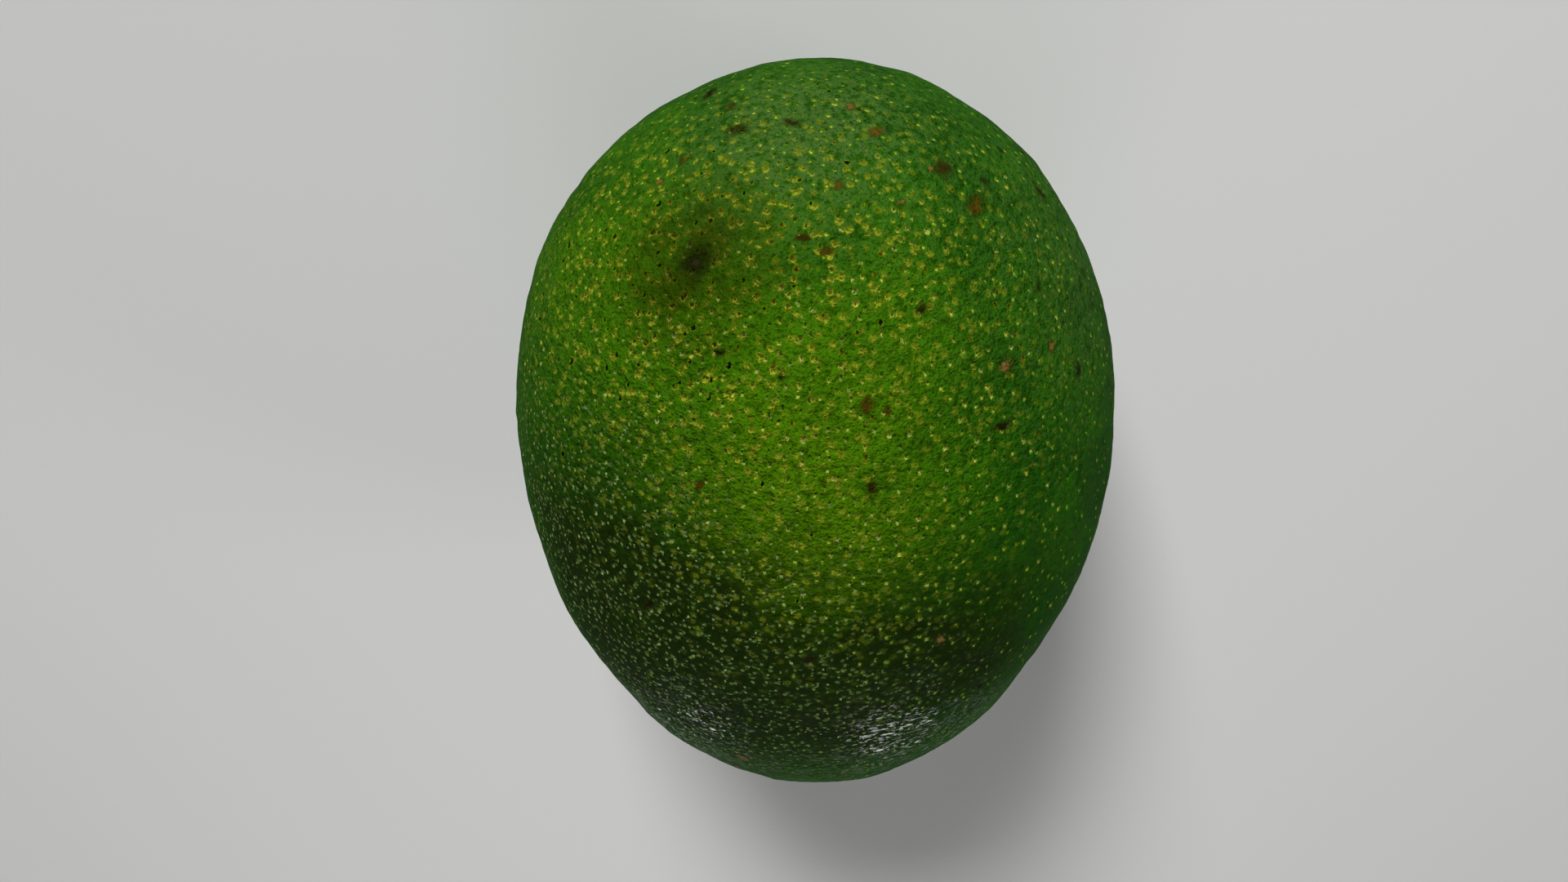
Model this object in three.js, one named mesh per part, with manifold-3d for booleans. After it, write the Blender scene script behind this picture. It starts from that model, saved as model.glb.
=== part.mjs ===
// A whole avocado as picked: one fruit, and the corky stem button that sits in the hollow at its narrow end.
// It lies on its side on a small flat spot. Millimetres, +Z up, blossom end towards -Y, stem end towards +Y.
// The origin is under the middle of the whole avocado, on the surface that it lies on.
import * as THREE from 'three';
import { mergeVertices } from 'three/addons/utils/BufferGeometryUtils.js';
import Module from 'manifold-3d';

// Fruit
const LENGTH = 96.6;
const WIDTH = 69;
const TAPER = 0.105; // how much the blossom half swells and the stem half slims
const HOLLOW_DEPTH = 2.2; // the hollow that the stem sits in
const HOLLOW_RADIUS = 6.4;
const FRUIT_RINGS = 48; // faces from end to end, and around
const FRUIT_SIDES = 64;
const RING_CROWDING = 0.06; // draws the rings together towards both ends

// How it lies
const REST_TILT = THREE.MathUtils.degToRad(5.2); // its weight comes down over the flat spot at this tilt
const REST_DEPTH = 0.8; // skin pressed flat where it rests

// Stem button
const BUTTON_RADIUS = 4.2; // at its rim
const BUTTON_NECK_RADIUS = 3.5; // at the narrowest, in the hollow
const BUTTON_HEIGHT = 3.4; // above the bottom of the hollow
const BUTTON_RIM = 1.2; // thickness of the rim
const BUTTON_DISH = 0.5; // how far its top is sunk in the middle
const BUTTON_SIDES = 32;
const CURVE_STEPS = 4; // straight pieces in each curve of its outline
const SEAT_GAP = 0.3; // clearance between the button and the fruit

const HALF_LENGTH = LENGTH / 2;

// The swollen profile is widest where the slope of sin(t) * (1 + TAPER * cos(t)) is level.
const WIDEST_COSINE = (Math.sqrt(1 + 8 * TAPER * TAPER) - 1) / (4 * TAPER);
const WIDEST_SWELL = Math.sqrt(1 - WIDEST_COSINE ** 2) * (1 + TAPER * WIDEST_COSINE);

// Depth of the stem hollow at a distance from the fruit's axis.
function hollowAt(radius) {
  return HOLLOW_DEPTH * Math.exp(-((radius / HOLLOW_RADIUS) ** 2));
}

// A point of the fruit's profile: turn runs from 0 at the blossom end to PI at the stem end.
function profilePoint(turn) {
  const swell = Math.sin(turn) * (1 + TAPER * Math.cos(turn));
  const radius = (WIDTH / 2) * (swell / WIDEST_SWELL);
  const along = -HALF_LENGTH * Math.cos(turn);
  return new THREE.Vector2(radius, turn > Math.PI / 2 ? along - hollowAt(radius) : along);
}

// An egg turned about Y, dimpled where the stem joins.
function fruitShape() {
  const profile = [];
  for (let ring = 0; ring <= FRUIT_RINGS; ring += 1) {
    const share = ring / FRUIT_RINGS;
    const crowded = share - RING_CROWDING * Math.sin(2 * Math.PI * share);
    profile.push(profilePoint(Math.PI * crowded));
  }
  profile[FRUIT_RINGS].x = 0; // sin(PI) isn't quite 0, and the profile ends on the axis
  return new THREE.LatheGeometry(profile, FRUIT_SIDES);
}

// Height of the fruit's skin inside the hollow, along Y.
function hollowFloor(radius) {
  const swellSlope = (WIDTH / 2) * ((1 - TAPER) / WIDEST_SWELL);
  const sine = radius / swellSlope;
  return HALF_LENGTH * Math.sqrt(1 - sine * sine) - hollowAt(radius);
}

// A short stub that widens to a rounded rim, with a dished top. Its underside follows the hollow.
function buttonShape() {
  const bottom = hollowFloor(0) + SEAT_GAP;
  const top = hollowFloor(0) + BUTTON_HEIGHT;
  const rimMiddle = top - BUTTON_RIM / 2;
  const outline = new THREE.Path();
  outline.moveTo(0, bottom);
  outline.lineTo(BUTTON_NECK_RADIUS / 2, hollowFloor(BUTTON_NECK_RADIUS / 2) + SEAT_GAP);
  outline.lineTo(BUTTON_NECK_RADIUS, hollowFloor(BUTTON_NECK_RADIUS) + SEAT_GAP);
  outline.quadraticCurveTo(BUTTON_NECK_RADIUS, top - BUTTON_RIM, BUTTON_RADIUS - BUTTON_RIM / 2, top - BUTTON_RIM);
  outline.absarc(BUTTON_RADIUS - BUTTON_RIM / 2, rimMiddle, BUTTON_RIM / 2, -Math.PI / 2, Math.PI / 2, false);
  outline.quadraticCurveTo(BUTTON_NECK_RADIUS / 2, top - BUTTON_DISH, 0, top - BUTTON_DISH);
  return new THREE.LatheGeometry(outline.getPoints(CURVE_STEPS), BUTTON_SIDES);
}

const wasm = await Module();
wasm.setup();

function toSolid(geometry) {
  const bare = geometry.clone();
  bare.deleteAttribute('normal');
  bare.deleteAttribute('uv');
  const merged = mergeVertices(bare);
  const vertProperties = new Float32Array(merged.attributes.position.array);
  const triVerts = new Uint32Array(merged.index.array);
  return new wasm.Manifold(new wasm.Mesh({ numProp: 3, vertProperties, triVerts }));
}

function toGeometry(solid) {
  const mesh = solid.getMesh();
  const geometry = new THREE.BufferGeometry();
  geometry.setAttribute('position', new THREE.BufferAttribute(mesh.vertProperties, 3));
  geometry.setIndex(new THREE.BufferAttribute(mesh.triVerts, 1));
  geometry.computeVertexNormals();
  return geometry;
}

// The fruit tipped to its resting tilt and lowered, then levelled where it rests.
function layFruit(shape, lowering) {
  shape.rotateX(-REST_TILT);
  shape.translate(0, 0, lowering);
  const ground = new THREE.BoxGeometry(2 * LENGTH, 2 * LENGTH, LENGTH);
  ground.translate(0, 0, -LENGTH / 2);
  return toGeometry(toSolid(shape).subtract(toSolid(ground)));
}

// How far up the tipped fruit moves so that REST_DEPTH of it is below the ground.
function restingHeight(shape) {
  const tipped = shape.clone().rotateX(-REST_TILT);
  tipped.computeBoundingBox();
  return -tipped.boundingBox.min.z - REST_DEPTH;
}

const skin = new THREE.MeshStandardMaterial({ color: 0x66802f, roughness: 0.48, metalness: 0 });
const cork = new THREE.MeshStandardMaterial({ color: 0x7a5c3a, roughness: 0.85, metalness: 0 });

const fruitLathe = fruitShape();
const height = restingHeight(fruitLathe);

const fruit = new THREE.Mesh(layFruit(fruitLathe, height), skin);
fruit.name = 'fruit';

const stemButton = new THREE.Mesh(buttonShape(), cork);
stemButton.name = 'stem_button';
stemButton.rotation.x = -REST_TILT;
stemButton.position.z = height;

const avocado = new THREE.Group();
avocado.add(fruit, stemButton);

const middle = new THREE.Box3().setFromObject(avocado, true).getCenter(new THREE.Vector3());
avocado.position.set(-middle.x, -middle.y, 0);

export default avocado;
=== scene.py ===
import itertools
import math

import bpy
import numpy as np
from mathutils import Matrix, Vector
from mathutils.kdtree import KDTree


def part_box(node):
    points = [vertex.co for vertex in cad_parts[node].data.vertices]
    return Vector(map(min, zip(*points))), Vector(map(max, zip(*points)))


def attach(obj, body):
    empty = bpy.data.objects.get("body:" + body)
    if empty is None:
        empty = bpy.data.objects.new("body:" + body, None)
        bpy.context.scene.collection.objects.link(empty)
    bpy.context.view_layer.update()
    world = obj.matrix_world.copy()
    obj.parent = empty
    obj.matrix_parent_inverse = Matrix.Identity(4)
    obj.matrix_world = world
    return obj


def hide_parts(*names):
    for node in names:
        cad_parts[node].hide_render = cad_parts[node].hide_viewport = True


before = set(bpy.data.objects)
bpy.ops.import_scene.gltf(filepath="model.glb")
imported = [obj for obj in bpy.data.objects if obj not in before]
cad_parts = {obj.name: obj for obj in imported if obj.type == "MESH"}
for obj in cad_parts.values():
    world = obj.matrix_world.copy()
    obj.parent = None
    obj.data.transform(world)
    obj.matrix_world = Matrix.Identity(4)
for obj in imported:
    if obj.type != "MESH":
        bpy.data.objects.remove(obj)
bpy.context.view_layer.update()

MM = 0.001
SEED = 20

# The egg that the fruit is shaped on, in mm, as the CAD solid is.
LENGTH = 96.6
WIDTH = 69.0
TAPER = 0.105
HOLLOW_DEPTH = 2.2
HOLLOW_RADIUS = 6.4
REST_TILT = math.radians(5.2)
REST_DEPTH = 0.8
FLAT_EDGE = 0.15  # how softly the skin meets the flat spot
WIDEST_COSINE = (math.sqrt(1 + 8 * TAPER**2) - 1) / (4 * TAPER)
WIDEST_SWELL = math.sqrt(1 - WIDEST_COSINE**2) * (1 + TAPER * WIDEST_COSINE)

FACE_CELLS = 256  # squares along each side of the cube that is blown up into the fruit
MAP_MARGIN = 0.01  # left free around each face of that cube in its unfolded map, as a share of the face

# The stem button, in mm, as the CAD solid is, and the lip of skin around it.
BUTTON_RADIUS = 4.2
BUTTON_NECK = 3.5
BUTTON_HEIGHT = 3.4
BUTTON_RIM = 1.2
BUTTON_DISH = 0.5
BUTTON_CELLS = 56
UNDER_STEPS = 6  # points of its outline along the underside, in each curve and around the rim
CURVE_STEPS = 24
RIM_STEPS = 16
RIM_BEND = 1.5  # how far the rounded rim turns either way from its outermost point, in radians
SEAT_GAP = 0.3
KNOB_DEPTH = 0.16  # how deep the dips between its knobs, furrows and crumbs are cut, and how large they are
KNOB_SIZE = 1.6
FURROW_DEPTH = 0.14
FURROW_SIZE = 0.16  # across, as a share of the button's radius
FURROW_DRIFT = 0.2  # how fast furrows change from the middle outwards
FURROW_OFFSET = 20  # moves their pattern to a place of its own
CRUMB_DEPTH = 0.05
CRUMB_SIZE = 0.5
STEM_LIP = 0.5
STEM_LIP_RADIUS = 5.6
STEM_LIP_WIDTH = 1.0

# Places on the skin are (turn, around) in degrees: turn runs from 0 at the blossom end to 180 at the stem
# end, and around is 0 on top and 90 towards +X. Patches add a radius in mm and a strength or a height.
SCAR = (33.4, 35.5)

# Broad dents and swellings, with their height in mm.
DENTS = [
    (60, 300, 13, -0.5),
    (78, 45, 14, -0.7),
    (50, 75, 10, 0.3),
    (95, 330, 12, 0.4),
    (30, 330, 12, 0.25),
    (66, 12, 9, 0.2),
    (110, 20, 14, -0.4),
    (100, 120, 15, -0.5),
    (130, 250, 14, -0.5),
    (60, 200, 15, 0.4),
    (120, 160, 12, 0.4),
]

# Wrinkles, from broad to fine: their size and height in mm.
WRINKLES = [
    (15, 0.22),
    (6, 0.17),
    (2.6, 0.11),
    (1.1, 0.05),
]

# Dimple of the blossom scar, and the point in its middle: radius and height in mm.
SCAR_DIMPLE = (1.4, -0.35)
SCAR_POINT = (0.5, 0.2)

# How crowded the pores are, on top of the ground level.
PORE_GROUND = 0.13
PORE_CROWDS = [
    (SCAR[0], SCAR[1], 18, 0.7),
    (48, 68, 18, 0.45),
    (80, 46, 20, 0.75),
    (58, 12, 16, 0.3),
    (96, 14, 20, 0.45),
    (60, 320, 24, 0.12),
]
PORE_CLUMPING = 1.2
PORE_CLUMP_SIZE = 3.5  # mm
PORE_TRIES = 40000
PORE_GAP = 0.95  # the nearest that two pores come, in mm
PORE_SIZE = 0.13  # of the smallest ones, in mm
PORE_SIZE_RANGE = 0.12
PORE_STRETCH = (1.2, 0.8, 1.2)  # weighs distances less along the fruit, so that pores are longer that way
PORE_REACH = 0.48  # how far from a pore its colours go, in mm
SHADOW_NOTCH_OFFSET = (0.04, 0.15, 0.09)  # from a pore's notch, a dip darkened with painted shadow on its blossom side, to its middle, in mm
PIT_RADIUS = 0.28  # mm
PIT_DEPTH = 0.45  # this and the rim's height are shares of the pore's size
PIT_RIM = 0.12
PIT_RIM_RADIUS = 1.6 * PIT_RADIUS

# Where the pores are larger.
PORE_GROWTH = [
    (SCAR[0], SCAR[1] - 15, 16, 0.35),
    (45, 320, 24, 0.3),
]

# Tints of pores: 0 or less is pale, 0.4 yellow, 0.6 rust and 1 black.
LIVE_TINTS = (0.2, 0.42)
RUSTY_TINTS = (0.45, 0.7)
BLACK_TINTS = (0.9, 1.0)
BLACK_FROM = 0.85
PIN_GROWTH = 1.2  # how many times larger the black pin dots are

# Where pores turn to rust, where some are black pin dots, and where they are pale and evenly spread, with
# fine specks among them. The stray ones are the share of the pores that turn so anywhere.
STRAY_RUST = 0.02
RUST = [
    (32, 10, 9, 0.15),
    (39, 24, 7, 0.4),
    (20, 340, 14, 0.07),
    (45, 320, 22, 0.08),
    (22, 68, 8, 0.2),
]
STRAY_PINS = 0.005
PINS = [
    (38, 70, 15, 0.2),
    (46, 42, 12, 0.13),
    (18, 80, 10, 0.08),
]
FULLY_PALE = 0.3  # the strength at which the spread is even and the specks show in full
PALE = [
    (84, 48, 20, 0.36),
    (104, 14, 22, 0.3),
    (60, 300, 22, 0.1),
]

# Where flakes of scurf lie among the pores.
SCURF = [
    (SCAR[0], SCAR[1], 16, 0.75),
    (45, 62, 13, 0.4),
    (50, 25, 14, 0.35),
    (30, 350, 12, 0.3),
    (66, 8, 20, 0.3),
    (73, 3, 6, 0.4),
    (42, 322, 22, 0.15),
]
SCURF_SPACING = 1.3  # mm
SPECK_SPACING = 0.9  # of the fine specks among the pale pores, in mm
FLAKE_SHADOW_NOTCH = (0.04, 0.15, 0.12)  # from a flake's notch, a dip darkened with painted shadow on its blossom side, to its middle, in mm

# Where wax lies on the skin, in streaks that glint.
GLOSS = [
    (117, 34, 10, 1.0),
    (114, 340, 12, 1.0),
    (140, 180, 26, 0.5),
]

# Where the green of the skin turns yellow; dark, partly its own pigment and partly painted shade; or hazy,
# partly waxy bloom and partly a painted sheen.
YELLOW = [
    (34, 36, 20, 0.15),
    (62, 6, 15, 0.85),
    (74, 2, 9, 0.7),
    (46, 66, 14, 0.45),
    (42, 345, 12, 0.3),
]
# Dark: partly the skin's own dark pigment, partly painted shade
DARK_AND_SHADE = [
    (80, 48, 18, 0.55),
    (96, 38, 16, 0.5),
    (98, 6, 21, 0.75),
    (91, 335, 16, 0.5),
    (78, 26, 8, 0.25),
]
# Hazy: partly waxy bloom, partly a painted sheen
HAZE_AND_SHEEN = [
    (4, 0, 12, 1.0),
    (14, 25, 9, 0.5),
    (48, 284, 14, 0.6),
]

# Scars and blotches: turn, around, length and width in mm, lean of its length from the fruit's length in
# degrees, and tint from 0, orange, to 1, black.
BLOTCHES = [
    (23, 302, 3.0, 2.0, 90, 0.6),
    (22, 307, 1.2, 0.8, 90, 0.1),
    (30, 303, 3.4, 1.9, 90, 0.45),
    (29, 292, 1.2, 1.0, 0, 0.6),
    (40, 272, 2.6, 1.6, 20, 0.85),
    (24, 328, 1.0, 0.8, 90, 0.05),
    (39, 335, 1.9, 0.9, 75, 0.8),
    (53, 305, 2.0, 1.0, 0, 0.15),
    (60, 298, 2.4, 1.5, 10, 0.95),
    (45, 301, 1.1, 0.9, 0, 0.8),
    (51, 319, 2.4, 1.6, 90, 0.1),
    (58, 324, 3.0, 1.0, 95, 0.9),
    (50, 351, 1.9, 1.6, 30, 0.5),
    (51, 347, 1.0, 0.8, 0, 0.5),
    (46, 8, 1.0, 0.8, 0, 0.9),
    (61, 351, 2.2, 1.4, 0, 0.7),
    (62, 22, 1.5, 1.0, 20, 0.5),
    (13, 96, 1.8, 1.2, 60, 0.6),
    (13, 65, 2.4, 1.8, 0, 0.75),
    (7, 29, 2.2, 1.2, 90, 0.7),
    (19, 119, 3.4, 1.2, 80, 0.9),
    (12, 309, 2.6, 1.2, 100, 0.3),
    (6, 288, 1.6, 1.0, 90, 0.2),
    (44, 22, 1.3, 0.9, 60, 1.0),
    (84, 32, 2.6, 1.0, 40, 0.9),
    (87, 2, 2.0, 1.6, 60, 0.85),
    (87, 339, 2.0, 1.1, 150, 0.0),
    (102, 328, 2.8, 1.2, 120, 0.85),
    (22, 68, 1.6, 1.1, 0, 0.5),
    (27, 67, 1.2, 0.9, 0, 0.15),
    (19, 350, 1.4, 1.1, 20, 0.4),
    (27, 5, 1.6, 1.0, 90, 0.6),
    (29, 358, 1.7, 0.9, 80, 0.5),
]

# More of them are strewn over the sides that the list leaves out.
HIDDEN_BLOTCHES = 40
HIDDEN_LENGTHS = (0.9, 3.2)  # mm
HIDDEN_WIDTHS = (0.4, 0.8)  # shares of the length
LISTED_TURN = 110  # the list covers the skin up to this turn, apart from the underside
UNDERSIDE = (110, 270)  # from and to this far around
BARE_TURN = 165  # from this turn on, by the stem, the skin has none
LEAST_TURN_COSINE = 0.95  # the strewn ones start this far from the blossom end


# ---------------------------------------------------------------- the egg

def unit(vectors):
    return vectors / np.linalg.norm(vectors, axis=-1, keepdims=True)


def direction_to(turn, around):
    """Unit direction from the egg's middle for a place in degrees."""
    turn, around = np.radians(turn), np.radians(around)
    flat = np.sin(turn)
    return np.stack([flat * np.sin(around), -np.cos(turn), flat * np.cos(around)], axis=-1)


def egg(directions):
    """Points of the smooth egg, in mm, with its long axis on Y."""
    turn = np.arccos(np.clip(-directions[..., 1], -1, 1))
    around = np.arctan2(directions[..., 0], directions[..., 2])
    radius = WIDTH / 2 * np.sin(turn) * (1 + TAPER * np.cos(turn)) / WIDEST_SWELL
    along = -LENGTH / 2 * np.cos(turn)
    hollow = HOLLOW_DEPTH * np.exp(-((radius / HOLLOW_RADIUS) ** 2))
    along -= np.where(turn > math.pi / 2, hollow, 0)
    return np.stack([radius * np.sin(around), along, radius * np.cos(around)], axis=-1)


def egg_normals(directions):
    """Outward normals of the smooth egg."""
    step = 1e-4  # to either neighbour that the slopes are measured from
    helper = np.where(np.abs(directions[:, :1]) < 0.7, [[1.0, 0, 0]], [[0, 0, 1.0]])
    first = unit(np.cross(helper, directions))
    second = np.cross(directions, first)
    here = egg(directions)
    along_first = egg(unit(directions + step * first)) - here
    along_second = egg(unit(directions + step * second)) - here
    return unit(np.cross(along_first, along_second))


def tip(points):
    """Turns the egg about X to its resting tilt."""
    cosine, sine = math.cos(REST_TILT), math.sin(REST_TILT)
    tipped = points.copy()
    tipped[:, 1] = points[:, 1] * cosine + points[:, 2] * sine
    tipped[:, 2] = points[:, 2] * cosine - points[:, 1] * sine
    return tipped


def find_middle(directions):
    """Where the egg's middle lies, in mm, so that it fills the CAD fruit's box."""
    tipped = tip(egg(directions))
    low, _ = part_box("fruit")
    return np.array([0, low.y / MM - tipped[:, 1].min(), -tipped[:, 2].min() - REST_DEPTH])


def lay_down(points, middle):
    """From the egg's own frame in mm to where it lies in metres, levelled where it rests."""
    laid = tip(points) + middle
    laid[:, 2] = (laid[:, 2] + np.sqrt(laid[:, 2] ** 2 + FLAT_EDGE**2)) / 2
    return laid * MM


def bell(gaps, radius):
    """A soft bump: 1 at no gap, and fading away over the radius."""
    return np.exp(-((gaps / radius) ** 2))


def patches(points, rows):
    """The sum of soft patches on the skin, each given as (turn, around, radius, strength)."""
    total = np.zeros(len(points))
    for turn, around, radius, strength in rows:
        gaps = np.linalg.norm(points - egg(direction_to(turn, around)), axis=1)
        total += strength * bell(gaps, radius)
    return total


def value_noise(points, size, seed):
    """Smooth noise from -1 to 1 with lumps of about size mm."""
    side = 64  # lumps before it repeats
    lattice = np.random.default_rng(seed).uniform(-1, 1, (side, side, side))
    cell = points / size
    low = np.floor(cell).astype(int)
    share = cell - low
    share = share * share * (3 - 2 * share)
    total = np.zeros(len(points))
    for corner in np.ndindex(2, 2, 2):
        weight = np.prod(np.where(corner, share, 1 - share), axis=1)
        x, y, z = ((low + corner) % side).T
        total += weight * lattice[x, y, z]
    return total


# ---------------------------------------------------------------- meshes

def cube_sphere(cells):
    """A cube blown up to a ball: unit directions, the corners of each square, and its unfolded map."""
    steps = np.linspace(0, 1, cells + 1)
    bowed = np.tan((steps * 2 - 1) * math.pi / 4)
    across, up = np.meshgrid(bowed, bowed, indexing="ij")
    map_x, map_y = np.meshgrid(steps, steps, indexing="ij")
    grid = np.arange((cells + 1) ** 2).reshape(cells + 1, cells + 1)
    corners = [grid[:-1, :-1], grid[1:, :-1], grid[1:, 1:], grid[:-1, 1:]]
    square = np.stack(corners, axis=-1).reshape(-1, 4)
    free = 1 - 2 * MAP_MARGIN
    columns, rows = 3, 2
    directions, squares, maps = [], [], []
    for number, (axis, side) in enumerate(itertools.product(range(3), (-1, 1))):
        face = np.empty((cells + 1, cells + 1, 3))
        face[..., axis] = side
        face[..., (axis + 1) % 3] = across * side
        face[..., (axis + 2) % 3] = up
        directions.append(face.reshape(-1, 3))
        squares.append(square + number * grid.size)
        flat_x = (number % columns + MAP_MARGIN + map_x * free) / columns
        flat_y = (number // columns + MAP_MARGIN + map_y * free) / rows
        maps.append(np.stack([flat_x, flat_y], axis=-1).reshape(-1, 2))
    directions = unit(np.concatenate(directions))
    squares = np.concatenate(squares)
    corner_map = np.concatenate(maps)[squares]
    _, first, shared = np.unique(np.round(directions, 6), axis=0, return_index=True, return_inverse=True)
    return directions[first], shared.reshape(-1)[squares], corner_map


def make_piece(name, points, squares, corner_map):
    """A smooth mesh object of four-sided faces, with its points in metres."""
    mesh = bpy.data.meshes.new(name)
    mesh.vertices.add(len(points))
    mesh.vertices.foreach_set("co", points.astype(np.float32).ravel())
    mesh.loops.add(squares.size)
    mesh.loops.foreach_set("vertex_index", squares.astype(np.int32).ravel())
    mesh.polygons.add(len(squares))
    mesh.polygons.foreach_set("loop_start", np.arange(0, squares.size, 4, dtype=np.int32))
    mesh.polygons.foreach_set("use_smooth", np.ones(len(squares), bool))
    mesh.update(calc_edges=True)
    layer = mesh.uv_layers.new(name="OFBake")
    layer.data.foreach_set("uv", corner_map.astype(np.float32).ravel())
    piece = bpy.data.objects.new(name, mesh)
    bpy.context.scene.collection.objects.link(piece)
    return piece


def store(piece, name, values):
    """Keeps a number or a vector for each vertex, for the material to read."""
    kind, field = ("FLOAT", "value") if values.ndim == 1 else ("FLOAT_VECTOR", "vector")
    layer = piece.data.attributes.new(name, kind, "POINT")
    layer.data.foreach_set(field, values.astype(np.float32).ravel())


# ---------------------------------------------------------------- the fruit's shape

def scatter_pores(random):
    """Places of the pores: strewn at random, thicker in the crowded patches, never nearer than the gap."""
    tries = egg(unit(random.normal(size=(PORE_TRIES, 3))))
    crowding = PORE_GROUND + patches(tries, PORE_CROWDS)
    evenness = np.clip(1 - patches(tries, PALE) / FULLY_PALE, 0, 1)
    crowding *= 1 + PORE_CLUMPING * evenness * value_noise(tries, PORE_CLUMP_SIZE, SEED)
    tries = tries[random.random(PORE_TRIES) < crowding]
    kept, cells = [], {}
    for place in tries:
        x, y, z = (int(value // PORE_GAP) for value in place)
        near = (cells.get((x + i, y + j, z + k)) for i, j, k in itertools.product((-1, 0, 1), repeat=3))
        if all(other is None or np.linalg.norm(other - place) > PORE_GAP for other in near):
            cells[x, y, z] = place
            kept.append(place)
    return np.array(kept)


def tint_pores(places, random):
    """A tint for each pore."""
    tints = random.uniform(*LIVE_TINTS, len(places)) - patches(places, PALE)
    rusty = random.random(len(places)) < STRAY_RUST + patches(places, RUST)
    tints[rusty] = random.uniform(*RUSTY_TINTS, rusty.sum())
    black = random.random(len(places)) < STRAY_PINS + patches(places, PINS)
    tints[black] = random.uniform(*BLACK_TINTS, black.sum())
    return tints


def nearest(points, places):
    """For each point, the number of the nearest place and how far it is."""
    tree = KDTree(len(places))
    for number, place in enumerate(places):
        tree.insert(place, number)
    tree.balance()
    found = [tree.find(point)[1:] for point in points.tolist()]
    numbers, gaps = zip(*found)
    return np.array(numbers), np.array(gaps)


def relief(points):
    """Height of the skin over the smooth egg, without its pores, in mm."""
    height = patches(points, DENTS)
    for size, depth in WRINKLES:
        height += depth * value_noise(points, size, SEED + round(size * 10))
    return height


def strewn_blotches(random):
    """Blotches for the sides that the list leaves out."""
    rows = []
    while len(rows) < HIDDEN_BLOTCHES:
        turn = math.degrees(math.acos(random.uniform(-1, LEAST_TURN_COSINE)))
        around = random.uniform(0, 360)
        underneath = UNDERSIDE[0] < around < UNDERSIDE[1]
        listed = turn < LISTED_TURN and not underneath
        if not listed and turn <= BARE_TURN:
            length = random.uniform(*HIDDEN_LENGTHS)
            width = length * random.uniform(*HIDDEN_WIDTHS)
            lean = random.uniform(0, 180)
            rows.append((turn, around, length, width, lean, random.random()))
    return rows


def mark_blotches(points, rows):
    """How far inside a blotch each point is, 1 in its middle, 0 at its edge and -1 far off, and its tint."""
    step = 0.5  # degrees
    inside = np.full(len(points), -1.0)
    tints = np.zeros(len(points))
    for turn, around, length, width, lean, tint in rows:
        middle = egg(direction_to(turn, around))
        lengthwise = unit(egg(direction_to(turn + step, around)) - middle)
        sideways = unit(egg(direction_to(turn, around + step)) - middle)
        lean = math.radians(lean)
        gap = points - middle
        along = gap @ (lengthwise * math.cos(lean) + sideways * math.sin(lean))
        across = gap @ (sideways * math.cos(lean) - lengthwise * math.sin(lean))
        through = gap @ np.cross(lengthwise, sideways)
        reach = np.sqrt((2 * along / length) ** 2 + (2 * across / width) ** 2 + (through / length) ** 2)
        nearer = 1 - reach > inside
        inside[nearer] = 1 - reach[nearer]
        tints[nearer] = tint
    return inside, tints


def build_fruit(directions, squares, corner_map, middle):
    """The whole skin: a broad uneven egg, wrinkled, pitted by its pores and dimpled by the blossom scar."""
    random = np.random.default_rng(SEED)
    smooth = egg(directions)
    pores = scatter_pores(random)
    pore_tints = tint_pores(pores, random)
    live = pore_tints < RUSTY_TINTS[0]
    pore_sizes = PORE_SIZE + PORE_SIZE_RANGE * random.random(len(pores)) ** 2
    pore_sizes[live] *= 1 + patches(pores, PORE_GROWTH)[live]
    pore_sizes[pore_tints > BLACK_FROM] *= PIN_GROWTH
    pore_strengths = random.random(len(pores))
    pore_strengths[~live] = 1
    numbers, gaps = nearest(smooth, pores)
    scar_gap = np.linalg.norm(smooth - egg(direction_to(*SCAR)), axis=1)
    stem_gap = np.linalg.norm(smooth - egg(direction_to(180, 0)), axis=1)

    height = relief(smooth) * (1 - np.exp(-((stem_gap / HOLLOW_RADIUS) ** 4)))
    height += STEM_LIP * bell(stem_gap - STEM_LIP_RADIUS, STEM_LIP_WIDTH)
    height -= PIT_DEPTH * pore_sizes[numbers] * bell(gaps, PIT_RADIUS)
    height += PIT_RIM * pore_sizes[numbers] * bell(gaps - PIT_RIM_RADIUS, PIT_RADIUS)
    for radius, rise in (SCAR_DIMPLE, SCAR_POINT):
        height += rise * bell(scar_gap, radius)
    solid = smooth + egg_normals(directions) * height[:, None]
    fruit = make_piece("fruit_skin", lay_down(solid, middle), squares, corner_map)

    blotches, blotch_tints = mark_blotches(smooth, BLOTCHES + strewn_blotches(random))
    store(fruit, "pore_from", smooth - pores[numbers])
    store(fruit, "pore_gap", gaps)
    store(fruit, "pore_size", pore_sizes[numbers])
    store(fruit, "pore_tint", pore_tints[numbers])
    store(fruit, "pore_strength", pore_strengths[numbers])
    store(fruit, "blotch", blotches)
    store(fruit, "blotch_tint", blotch_tints)
    store(fruit, "scar_mm", scar_gap)
    store(fruit, "stem_mm", stem_gap)
    patchy = {"yellow": YELLOW, "dark_and_shade": DARK_AND_SHADE, "haze_and_sheen": HAZE_AND_SHEEN, "gloss": GLOSS, "scurf": SCURF, "pale": PALE}
    for name, rows in patchy.items():
        store(fruit, name, patches(smooth, rows))
    return fruit


# ---------------------------------------------------------------- the stem button's shape

def bend(start, pull, end):
    """Points of a curve from start to end, drawn towards pull."""
    share = np.linspace(0, 1, CURVE_STEPS)[:, None]
    rest = 1 - share
    return np.array(start) * rest**2 + 2 * np.array(pull) * share * rest + np.array(end) * share**2


def hollow_floor(radius):
    """How far along the egg the skin is inside the stem hollow."""
    sine = radius / (WIDTH / 2 * (1 - TAPER) / WIDEST_SWELL)
    return LENGTH / 2 * math.sqrt(1 - sine**2) - HOLLOW_DEPTH * math.exp(-((radius / HOLLOW_RADIUS) ** 2))


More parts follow.
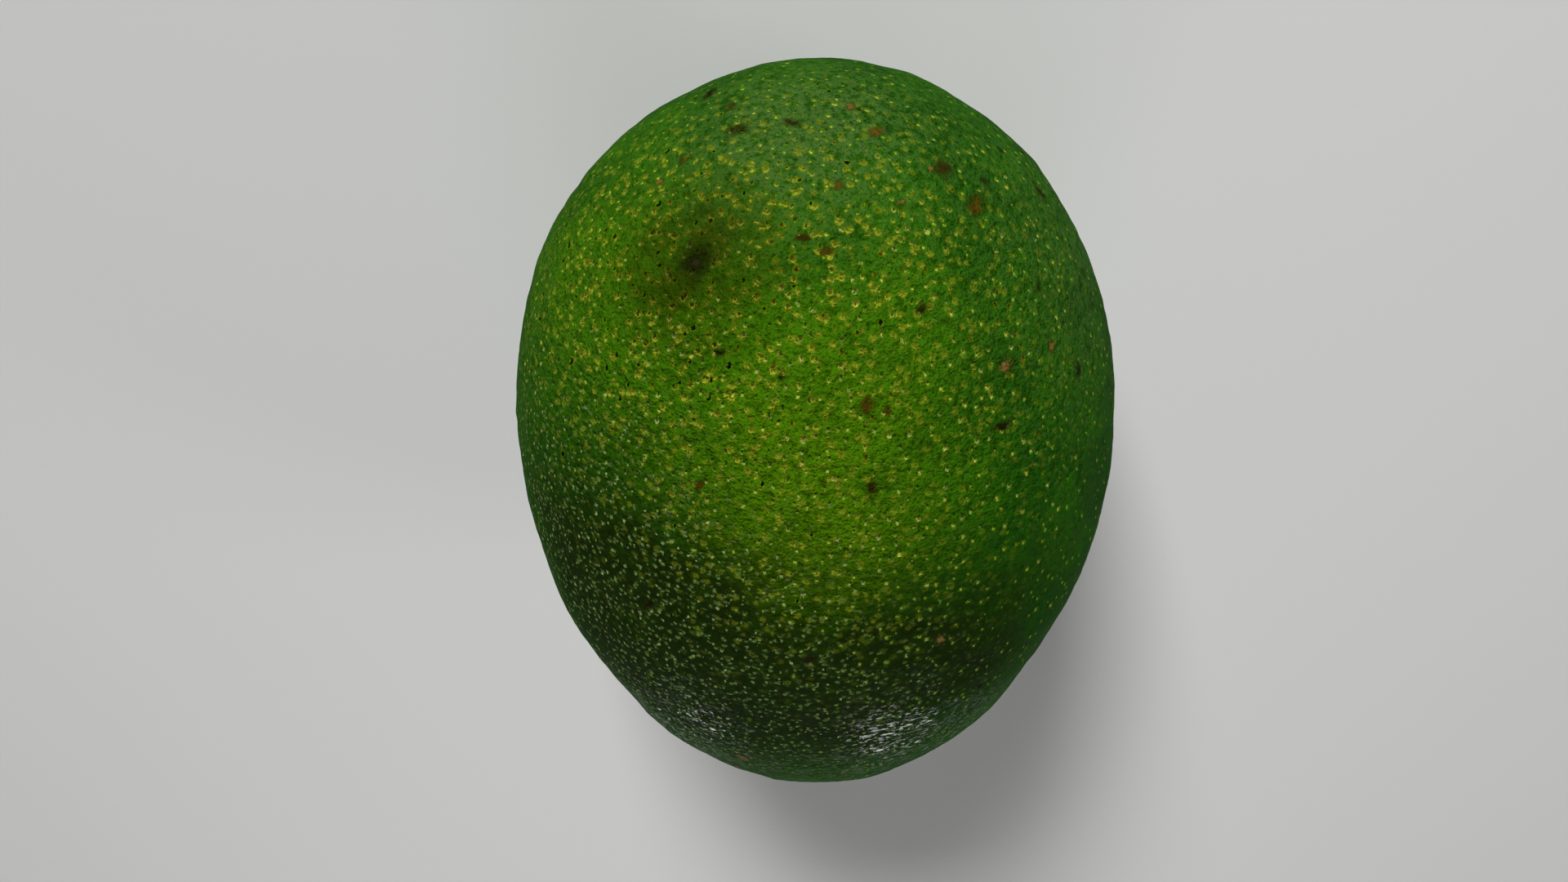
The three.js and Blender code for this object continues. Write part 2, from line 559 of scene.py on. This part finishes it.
def button_outline():
    """Radius and place along the egg, from under the button's middle, round its rim and into its dish."""
    top = hollow_floor(0) + BUTTON_HEIGHT
    rim = BUTTON_RIM / 2
    rim_middle = np.array([BUTTON_RADIUS - rim, top - rim])
    under = [(radius, hollow_floor(radius) + SEAT_GAP) for radius in np.linspace(0, BUTTON_NECK, UNDER_STEPS)]
    neck = bend(under[-1], (BUTTON_NECK, top - BUTTON_RIM), (BUTTON_RADIUS - rim, top - BUTTON_RIM))
    angles = np.linspace(-RIM_BEND, RIM_BEND, RIM_STEPS)
    lip = rim_middle + rim * np.stack([np.cos(angles), np.sin(angles)], axis=-1)
    dish = bend((BUTTON_RADIUS - rim, top), (BUTTON_NECK / 2, top - BUTTON_DISH), (0, top - BUTTON_DISH))
    return np.concatenate([under, neck, lip, dish])


def build_button(middle):
    """A short corky stub with a knobbly rim, furrowed down its sides and dished on top."""
    directions, squares, corner_map = cube_sphere(BUTTON_CELLS)
    outline = button_outline()
    lengths = np.linalg.norm(np.diff(outline, axis=0), axis=1)
    along = np.concatenate([[0], np.cumsum(lengths)]) / lengths.sum()
    share = np.arccos(np.clip(-directions[:, 1], -1, 1)) / math.pi
    radius = np.interp(share, along, outline[:, 0])
    height = np.interp(share, along, outline[:, 1])
    sides = unit(directions[:, [0, 2]] + 1e-9)  # a little off the axis, where there would be no side
    smooth = np.stack([radius * sides[:, 0], height, radius * sides[:, 1]], axis=-1)
    core = np.array([0, height.mean(), 0])

    furrows = np.stack([sides[:, 0], sides[:, 1], FURROW_DRIFT * radius], axis=-1) + FURROW_OFFSET
    depth = KNOB_DEPTH * (1 + value_noise(smooth, KNOB_SIZE, SEED + 1))
    furrowed = FURROW_DEPTH * (1 + value_noise(furrows, FURROW_SIZE, SEED + 2))
    depth += furrowed * np.clip(radius / BUTTON_NECK, 0, 1)
    depth += CRUMB_DEPTH * (1 + value_noise(smooth, CRUMB_SIZE, SEED + 3))
    points = smooth - unit(smooth - core) * depth[:, None]
    button = make_piece("stem_cork", (tip(points) + middle) * MM, squares, corner_map)
    store(button, "axis_mm", radius)
    store(button, "on_top", np.clip((height - height.max() + BUTTON_RIM) / BUTTON_RIM, 0, 1))
    store(button, "depth_mm", depth)
    return button


# ---------------------------------------------------------------- materials

class Shade:
    """Adds nodes to a new material and joins them. Sizes of patterns are in mm."""

    def __init__(self, name):
        self.material = bpy.data.materials.new(name)
        self.material.use_nodes = True
        self.tree = self.material.node_tree
        self.surface = self.tree.nodes["Principled BSDF"]
        self.place = self.add("ShaderNodeTexCoord").outputs["Object"]

    def add(self, kind, inputs=(), **settings):
        node = self.tree.nodes.new(kind)
        for name, value in settings.items():
            setattr(node, name, value)
        for key, value in dict(inputs).items():
            self.put(value, node.inputs[key])
        return node

    def put(self, value, socket):
        if isinstance(value, bpy.types.NodeSocket):
            self.tree.links.new(value, socket)
        else:
            socket.default_value = value

    def number(self, name):
        return self.add("ShaderNodeAttribute", attribute_name=name).outputs["Fac"]

    def vector(self, name):
        return self.add("ShaderNodeAttribute", attribute_name=name).outputs["Vector"]

    def length(self, vector, stretch, offset=(0, 0, 0)):
        """How long a vector is, once stretched and then moved."""
        inputs = {0: vector, 1: stretch, 2: offset}
        moved = self.add("ShaderNodeVectorMath", inputs, operation="MULTIPLY_ADD").outputs[0]
        return self.add("ShaderNodeVectorMath", {0: moved}, operation="LENGTH").outputs["Value"]

    def math(self, operation, first, second):
        return self.add("ShaderNodeMath", {0: first, 1: second}, operation=operation).outputs[0]

    def noise(self, size, detail, roughness, place=None):
        inputs = {"Vector": place or self.place, "Scale": 1 / (size * MM)}
        inputs.update({"Detail": detail, "Roughness": roughness})
        return self.add("ShaderNodeTexNoise", inputs).outputs["Fac"]

    def stretched(self, along_x, along_y, along_z):
        """The place on the piece, with patterns drawn out by these amounts."""
        shrink = (1 / along_x, 1 / along_y, 1 / along_z)
        return self.add("ShaderNodeVectorMath", {0: self.place, 1: shrink}, operation="MULTIPLY").outputs[0]

    def moved(self, offset):
        """The place on the piece, moved by this much in mm."""
        step = tuple(part * MM for part in offset)
        return self.add("ShaderNodeVectorMath", {0: self.place, 1: step}, operation="ADD").outputs[0]

    def cells(self, spacing, place=None):
        """How far the nearest of many strewn points is, as a share of their spacing in mm."""
        inputs = {"Vector": place or self.place, "Scale": 1 / (spacing * MM)}
        return self.add("ShaderNodeTexVoronoi", inputs, feature="F1").outputs["Distance"]

    def spread(self, value, low, high, start=0.0, end=1.0, smooth=True):
        """Carries the value from the span low to high over to the span start to end."""
        inputs = {"Value": value, "From Min": low, "From Max": high, "To Min": start, "To Max": end}
        kind = "SMOOTHSTEP" if smooth else "LINEAR"
        return self.add("ShaderNodeMapRange", inputs, interpolation_type=kind).outputs[0]

    def ragged(self, size, amount, roughness=0.65, cut=0.3):
        """An uneven shift either way of up to this amount, to tear an edge."""
        uneven = self.noise(size, 3.0, roughness)
        return self.spread(uneven, cut, 1 - cut, -amount, amount, smooth=False)

    def mix(self, amount, first, second):
        node = self.add("ShaderNodeMix", data_type="RGBA")
        self.put(amount, node.inputs[0])
        self.put(first, node.inputs[6])
        self.put(second, node.inputs[7])
        return node.outputs[2]

    def ramp(self, amount, stops):
        node = self.add("ShaderNodeValToRGB", {0: amount})
        elements = node.color_ramp.elements
        while len(elements) < len(stops):
            elements.new(0.5)
        for element, (place, colour) in zip(elements, stops):
            element.position = place
            element.color = colour
        return node.outputs["Color"]

    def bump(self, height):
        """The surface's slope where the height is in mm."""
        inputs = {"Height": height, "Distance": MM, "Strength": 1.0}
        return self.add("ShaderNodeBump", inputs).outputs["Normal"]


def rgb(red, green, blue):
    """A colour from 0 to 255 steps of screen brightness, as the linear light that shaders take."""
    linear = [((c / 255 + 0.055) / 1.055) ** 2.4 if c > 10 else c / 255 / 12.92 for c in (red, green, blue)]
    return (*linear, 1.0)


# The skin's own greens, and what darkens them; the crease and grain greens are painted shade, the dark olive
# is partly painted shade and the hazy green is partly a painted sheen
DEEP_GREEN = rgb(32, 90, 8)
LEAF_GREEN = rgb(46, 109, 7)
YELLOW_GREEN = rgb(86, 134, 6)
HAZE_AND_SHEEN_GREEN = rgb(74, 112, 44)
DARK_OLIVE_AND_SHADE = rgb(26, 38, 0)
MOTTLED_GREEN = rgb(28, 68, 0)
CREASE_SHADE_GREEN = rgb(10, 40, 0)
GRAIN_SHADE_GREEN = rgb(8, 30, 0)

# Flakes, pores and marks
SCURF_YELLOW = rgb(164, 178, 40)
SPECK_GREEN = rgb(122, 154, 76)
# Painted shadow in the notches of flakes
FLAKE_SHADOW_GREEN = rgb(18, 32, 0)
RING_GREEN = rgb(98, 146, 8)
# Pale pores, this and the first pore colour: their own pale, whitened further as a painted highlight
WEAK_PALE_HIGHLIGHT_GREEN = rgb(112, 146, 74)
WEAK_GREEN = rgb(88, 140, 12)
# Painted shadow in the notches of pores
PORE_SHADOW_GREEN = rgb(12, 22, 0)
PORE_COLOURS = [
    # Pale: partly a painted highlight
    (0.0, rgb(172, 200, 122)),
    (0.2, rgb(188, 206, 88)),
    (0.42, rgb(206, 204, 66)),
    (0.5, rgb(156, 120, 38)),
    (0.7, rgb(92, 62, 12)),
    (0.95, rgb(8, 8, 2)),
]
BLOTCH_STAIN = rgb(40, 44, 4)
BLOTCH_COLOURS = [
    (0.0, rgb(150, 116, 66)),
    (0.3, rgb(112, 76, 16)),
    (0.6, rgb(54, 40, 8)),
    (1.0, rgb(10, 10, 4)),
]
SCAR_STAIN = rgb(40, 42, 0)
SCAR_RING = rgb(18, 18, 6)
SCAR_PINK = rgb(54, 38, 28)
STEM_OLIVE = rgb(112, 106, 40)

# The stem button's cork
CORK = rgb(84, 60, 34)
PALE_CORK = rgb(128, 98, 60)
CORK_CORE = rgb(66, 44, 26)
CORK_RING = rgb(146, 116, 76)
CORK_EDGE = rgb(100, 74, 44)
CORK_FURROW_SHADE = rgb(38, 26, 14)
CORK_SPECK = rgb(44, 30, 18)

FLOOR_WHITE = rgb(236, 236, 234)

# How far from its middle a pattern begins to show, and where it shows in full. A pore's are in sizes of the
# pore, and a flake's notch, a dip with painted shadow, is in spacings of the flakes.
PORE_FLAKE_EDGE = (1.1, 0.8)
PORE_RING_EDGE = (2.7, 0.8)
PORE_SHADOW_NOTCH_EDGE = (0.8, 0.35)
FLAKE_SHADOW_NOTCH_EDGE = (0.22, 0.12)
SCAR_STAIN_EDGE = (13.0, 1.5)  # this and the next three are in mm
SCAR_RING_EDGE = (2.8, 0.3)
SCAR_POINT_EDGE = (0.34, 0.1)
STEM_STAIN_EDGE = (8.0, 4.0)

SCURF_REACH = 0.33  # how far flakes of scurf and fine specks reach, in their spacings
SPECK_REACH = 0.27
FLAKE_SOFTNESS = 0.1  # and how soft their edge is
FLAKE_HALO = 0.18  # the width of the light halo around them
FLAKE_HALO_STRENGTH = 0.25
# How dark the painted shadow in the notches is
NOTCH_SHADOW_STRENGTH = 0.8

# Relief in mm
FLAKE_RISE = 0.16
FLAKE_NOTCH_DEPTH = 0.2
PORE_RISE = 0.14
PORE_NOTCH_DEPTH = 0.26
WRINKLE_RISE = 0.8
GRAIN_RISE = 0.48


def ground_colour(shade, wrinkles, grain):
    """The greens of the skin between its pores, with painted shade in its creases and in the valleys of its
    grain.
    """
    patchy = shade.noise(9.0, 3.0, 0.55)
    mottled = shade.noise(2.4, 3.0, 0.6)
    green = shade.mix(shade.spread(patchy, 0.35, 0.65), DEEP_GREEN, LEAF_GREEN)
    yellow = shade.math("MULTIPLY", shade.number("yellow"), shade.spread(patchy, 0.2, 0.6, 0.5, 1.0))
    green = shade.mix(yellow, green, YELLOW_GREEN)
    # Haze: partly waxy bloom, partly a painted sheen, stronger on the ridges of the wrinkles
    haze_and_sheen = shade.math("MULTIPLY", shade.number("haze_and_sheen"), shade.spread(wrinkles, 0.35, 0.6, 0.2, 1.0))
    green = shade.mix(haze_and_sheen, green, HAZE_AND_SHEEN_GREEN)
    # Dark patches: partly the skin's own dark pigment, partly painted shade
    dark_and_shade = shade.math("ADD", shade.number("dark_and_shade"), shade.spread(patchy, 0.2, 0.8, -0.25, 0.25, smooth=False))
    dark_and_shade = shade.math("MULTIPLY", shade.spread(dark_and_shade, 0.1, 0.9), shade.spread(mottled, 0.2, 0.7, 0.75, 1.0))
    green = shade.mix(dark_and_shade, green, DARK_OLIVE_AND_SHADE)
    green = shade.mix(shade.spread(mottled, 0.42, 0.75, 0.0, 0.2), green, MOTTLED_GREEN)
    # Painted shade: darker in the valleys of the wrinkles and of the grain
    green = shade.mix(shade.spread(wrinkles, 0.5, 0.34, 0.0, 0.35), green, CREASE_SHADE_GREEN)
    return shade.mix(shade.spread(grain, 0.5, 0.34, 0.0, 0.6), green, GRAIN_SHADE_GREEN)


def add_flakes(shade, skin, amount, spacing, reach, colour):
    """Small torn flakes, each with a notch on its blossom side: a dip, darkened as painted shadow. Gives the
    colour, and the relief in mm.
    """
    torn = shade.ragged(0.35, 0.18)
    away = shade.math("ADD", shade.cells(spacing), torn)
    full = reach - FLAKE_SOFTNESS
    halo = shade.spread(away, reach + FLAKE_HALO, full, 0.0, FLAKE_HALO_STRENGTH)
    flake = shade.math("MULTIPLY", shade.spread(away, reach, full), amount)
    # The notch: the same flakes moved towards the blossom end, darkened as painted shadow and dipped in the
    # relief
    from_shadow_notch = shade.math("ADD", shade.cells(spacing, shade.moved(FLAKE_SHADOW_NOTCH)), torn)
    shadow_notch = shade.math("MULTIPLY", shade.spread(from_shadow_notch, *FLAKE_SHADOW_NOTCH_EDGE), amount)
    skin = shade.mix(shade.math("MULTIPLY", halo, amount), skin, colour)
    skin = shade.mix(flake, skin, colour)
    skin = shade.mix(shade.math("MULTIPLY", shadow_notch, NOTCH_SHADOW_STRENGTH), skin, FLAKE_SHADOW_GREEN)
    rise = shade.math("MULTIPLY", flake, FLAKE_RISE)
    return skin, shade.math("SUBTRACT", rise, shade.math("MULTIPLY", shadow_notch, FLAKE_NOTCH_DEPTH))


def add_pores(shade, skin):
    """Pale torn flakes in a light ring, each with a notch on its blossom side: a dip, darkened as painted
    shadow. Gives the colour, and the relief in mm.
    """
    ragged = shade.ragged(0.4, 0.8)
    near = shade.spread(shade.number("pore_gap"), PORE_REACH, 0.7 * PORE_REACH)
    size = shade.number("pore_size")
    away = shade.math("DIVIDE", shade.length(shade.vector("pore_from"), PORE_STRETCH), size)
    away = shade.math("ADD", away, ragged)
    flake = shade.math("MULTIPLY", shade.spread(away, *PORE_FLAKE_EDGE), near)
    ring = shade.math("MULTIPLY", shade.spread(away, *PORE_RING_EDGE, 0.0, 0.75), near)
    # The notch: a spot moved towards the blossom end, darkened as painted shadow and dipped in the relief
    from_shadow_notch = shade.length(shade.vector("pore_from"), PORE_STRETCH, SHADOW_NOTCH_OFFSET)
    from_shadow_notch = shade.math("ADD", shade.math("DIVIDE", from_shadow_notch, size), ragged)
    shadow_notch = shade.math("MULTIPLY", shade.spread(from_shadow_notch, *PORE_SHADOW_NOTCH_EDGE), near)
    colour = shade.ramp(shade.number("pore_tint"), PORE_COLOURS)
    yellowish = shade.spread(shade.number("pore_tint"), 0.0, 0.3)
    bright = shade.math("MULTIPLY", shade.number("pore_strength"), yellowish)
    skin = shade.mix(shade.math("MULTIPLY", ring, bright), skin, RING_GREEN)
    # Weak pale pores take a painted highlight in their pale green
    weak = shade.mix(yellowish, WEAK_PALE_HIGHLIGHT_GREEN, WEAK_GREEN)
    colour = shade.mix(shade.number("pore_strength"), weak, colour)
    skin = shade.mix(flake, skin, colour)
    skin = shade.mix(shade.math("MULTIPLY", shadow_notch, NOTCH_SHADOW_STRENGTH), skin, PORE_SHADOW_GREEN)
    rise = shade.math("MULTIPLY", flake, PORE_RISE)
    return skin, shade.math("SUBTRACT", rise, shade.math("MULTIPLY", shadow_notch, PORE_NOTCH_DEPTH))


def add_blotches(shade, skin):
    """Brown and black marks with torn edges, each in a darker green stain."""
    torn = shade.ragged(0.6, 0.7, roughness=0.75)
    blotch = shade.math("ADD", shade.number("blotch"), torn)
    stain = shade.math("ADD", shade.number("blotch"), shade.math("MULTIPLY", torn, 0.6))
    skin = shade.mix(shade.spread(stain, -0.5, 0.5, 0.0, 0.55), skin, BLOTCH_STAIN)
    colour = shade.ramp(shade.number("blotch_tint"), BLOTCH_COLOURS)
    return shade.mix(shade.spread(blotch, 0.1, 0.8, 0.0, 0.9), skin, colour)


def add_scar(shade, skin):
    """The blossom scar: a pinkish point in a black ring, in a dark olive stain."""
    uneven = shade.ragged(2.0, 0.6, roughness=0.6, cut=0.2)
    away = shade.math("ADD", shade.number("scar_mm"), uneven)
    patchy = shade.spread(shade.noise(4.0, 3.0, 0.6), 0.3, 0.6, 0.6, 1.0)
    stain = shade.math("MULTIPLY", shade.spread(away, *SCAR_STAIN_EDGE, 0.0, 0.75), patchy)
    skin = shade.mix(stain, skin, SCAR_STAIN)
    skin = shade.mix(shade.spread(away, *SCAR_RING_EDGE, 0.0, 0.8), skin, SCAR_RING)
    away = shade.math("ADD", shade.number("scar_mm"), shade.math("MULTIPLY", uneven, 0.4))
    return shade.mix(shade.spread(away, *SCAR_POINT_EDGE, 0.0, 0.9), skin, SCAR_PINK)


def add_stem_stain(shade, skin):
    """The olive ring of skin around the stem."""
    uneven = shade.ragged(2.0, 1.2, roughness=0.6, cut=0.2)
    away = shade.math("ADD", shade.number("stem_mm"), uneven)
    return shade.mix(shade.spread(away, *STEM_STAIN_EDGE, 0.0, 0.7), skin, STEM_OLIVE)


def skin_material():
    shade = Shade("avocado_skin")
    wrinkles = shade.noise(0.85, 2.0, 0.5)
    grain = shade.noise(0.3, 3.0, 0.65)
    skin = ground_colour(shade, wrinkles, grain)
    specks = shade.spread(shade.number("pale"), 0.02, FULLY_PALE)
    scurf = shade.number("scurf")
    skin, scurf_relief = add_flakes(shade, skin, scurf, SCURF_SPACING, SCURF_REACH, SCURF_YELLOW)
    skin, speck_relief = add_flakes(shade, skin, specks, SPECK_SPACING, SPECK_REACH, SPECK_GREEN)
    skin, pore_relief = add_pores(shade, skin)
    skin = add_blotches(shade, skin)
    skin = add_scar(shade, skin)
    skin = add_stem_stain(shade, skin)
    shade.put(skin, shade.surface.inputs["Base Color"])

    # Dull skin, with streaks of wax in places
    shade.put(shade.spread(grain, 0.3, 0.7, 0.55, 0.75), shade.surface.inputs["Roughness"])
    shade.surface.inputs["Specular IOR Level"].default_value = 0.01
    streaks = shade.noise(0.42, 3.0, 0.65, shade.stretched(2.2, 1, 1))
    wax = shade.math("MULTIPLY", shade.number("gloss"), shade.spread(streaks, 0.53, 0.63, 0.0, 0.8))
    shade.put(wax, shade.surface.inputs["Coat Weight"])
    shade.surface.inputs["Coat Roughness"].default_value = 0.2
    shade.surface.inputs["Coat IOR"].default_value = 1.3

    # Wrinkles and grain, flakes and pores
    relief = shade.math("MULTIPLY", wrinkles, WRINKLE_RISE)
    relief = shade.math("ADD", relief, shade.math("MULTIPLY", grain, GRAIN_RISE))
    relief = shade.math("ADD", relief, shade.math("ADD", scurf_relief, speck_relief))
    relief = shade.math("ADD", relief, pore_relief)
    shade.put(shade.bump(relief), shade.surface.inputs["Normal"])
    return shade.material


def cork_material():
    shade = Shade("stem_cork")
    coarse = shade.noise(1.2, 4.0, 0.6)
    fine = shade.noise(0.25, 3.0, 0.65)
    uneven = shade.spread(coarse, 0.2, 0.8, -0.5, 0.5, smooth=False)
    from_axis = shade.math("ADD", shade.number("axis_mm"), uneven)
    brown = shade.mix(shade.spread(coarse, 0.35, 0.65), CORK, PALE_CORK)

    # The torn face: a pale ring of bark round a darker core
    torn = shade.mix(shade.spread(from_axis, 1.6, 2.2), CORK_CORE, CORK_RING)
    torn = shade.mix(shade.spread(from_axis, 3.4, 3.8), torn, CORK_EDGE)
    brown = shade.mix(shade.number("on_top"), brown, torn)

    # Painted shade, darker where the cork is cut deeper into its dips and furrows, and dark specks
    brown = shade.mix(shade.spread(shade.number("depth_mm"), 0.35, 0.6, 0.0, 0.75), brown, CORK_FURROW_SHADE)
    brown = shade.mix(shade.spread(fine, 0.52, 0.68, 0.0, 0.6), brown, CORK_SPECK)
    shade.put(brown, shade.surface.inputs["Base Color"])
    shade.put(shade.spread(fine, 0.3, 0.7, 0.75, 0.95), shade.surface.inputs["Roughness"])
    shade.surface.inputs["Specular IOR Level"].default_value = 0.2
    relief = shade.math("ADD", shade.math("MULTIPLY", coarse, 0.3), shade.math("MULTIPLY", fine, 0.15))
    shade.put(shade.bump(relief), shade.surface.inputs["Normal"])
    return shade.material


def floor_material():
    shade = Shade("studio_floor")
    shade.surface.inputs["Base Color"].default_value = FLOOR_WHITE
    shade.surface.inputs["Roughness"].default_value = 0.9
    return shade.material


# ---------------------------------------------------------------- studio

FLOOR_SIZE = 30.0  # metres, as the rest of the studio's lengths are
WORLD_LIGHT = 0.08

CAMERA_ELEVATION = math.radians(53.4)
CAMERA_ROLL = math.radians(179.0)
CAMERA_DISTANCE = 0.2077
CAMERA_LENS = 40  # mm
CAMERA_ASIDE = 0.0036  # how far right and up the fruit's middle is from the middle of the picture
CAMERA_ABOVE = -0.0014

# Soft square lights: name, azimuth, elevation, distance, size, power in watts and spread. Azimuth 0 stands
# on the -Y side and 90 on the +X side, and angles are in degrees.
LIGHTS = [
    ("key", 10, 28, 1.6, 0.42, 2.9, 60),
    ("fill", 180, 40, 1.2, 0.7, 1.1, 180),
    ("side", 255, 25, 1.2, 0.5, 0.25, 60),
    ("back_left", 157, 4, 0.5, 0.08, 0.022, 40),
    ("back_right", 194, 4, 0.5, 0.12, 0.022, 40),
]


def add_camera(middle):
    toward = Vector((0, -math.cos(CAMERA_ELEVATION), math.sin(CAMERA_ELEVATION)))
    turned = toward.to_track_quat("Z", "Y").to_matrix() @ Matrix.Rotation(CAMERA_ROLL, 3, "Z")
    right, up = turned.col[0], turned.col[1]
    camera = bpy.data.objects.new("camera", bpy.data.cameras.new("camera"))
    camera.data.lens = CAMERA_LENS
    camera.data.clip_start = 0.01
    place = middle + toward * CAMERA_DISTANCE - right * CAMERA_ASIDE - up * CAMERA_ABOVE
    camera.matrix_world = Matrix.Translation(place) @ turned.to_4x4()
    bpy.context.scene.collection.objects.link(camera)
    bpy.context.scene.camera = camera


def add_light(target, name, azimuth, elevation, distance, size, power, spread):
    """A soft square light that shines at the target."""
    azimuth, elevation = math.radians(azimuth), math.radians(elevation)
    flat = math.cos(elevation)
    away = Vector((math.sin(azimuth) * flat, -math.cos(azimuth) * flat, math.sin(elevation)))
    light = bpy.data.objects.new(name, bpy.data.lights.new(name, "AREA"))
    light.data.size = size
    light.data.energy = power
    light.data.spread = math.radians(spread)
    turned = away.to_track_quat("Z", "Y").to_matrix().to_4x4()
    light.matrix_world = Matrix.Translation(target + away * distance) @ turned
    bpy.context.scene.collection.objects.link(light)


def add_world(strength):
    world = bpy.data.worlds.new("studio")
    world.use_nodes = True
    background = world.node_tree.nodes["Background"]
    background.inputs["Color"].default_value = (1, 1, 1, 1)
    background.inputs["Strength"].default_value = strength
    bpy.context.scene.world = world


def add_floor():
    mesh = bpy.data.meshes.new("floor")
    half = FLOOR_SIZE / 2
    corners = [(-half, -half, 0), (half, -half, 0), (half, half, 0), (-half, half, 0)]
    mesh.from_pydata(corners, [], [(0, 1, 2, 3)])
    floor = bpy.data.objects.new("floor", mesh)
    floor.data.materials.append(floor_material())
    bpy.context.scene.collection.objects.link(floor)


directions, squares, corner_map = cube_sphere(FACE_CELLS)
egg_middle = find_middle(directions)

fruit = build_fruit(directions, squares, corner_map, egg_middle)
fruit.data.materials.append(skin_material())
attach(fruit, "root")
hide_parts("fruit")

button = build_button(egg_middle)
button.data.materials.append(cork_material())
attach(button, "root")
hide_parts("stem_button")

target = Vector(egg_middle * MM)
add_camera(target)
add_floor()
add_world(WORLD_LIGHT)
for row in LIGHTS:
    add_light(target, *row)
bpy.context.scene.view_settings.view_transform = "Standard"
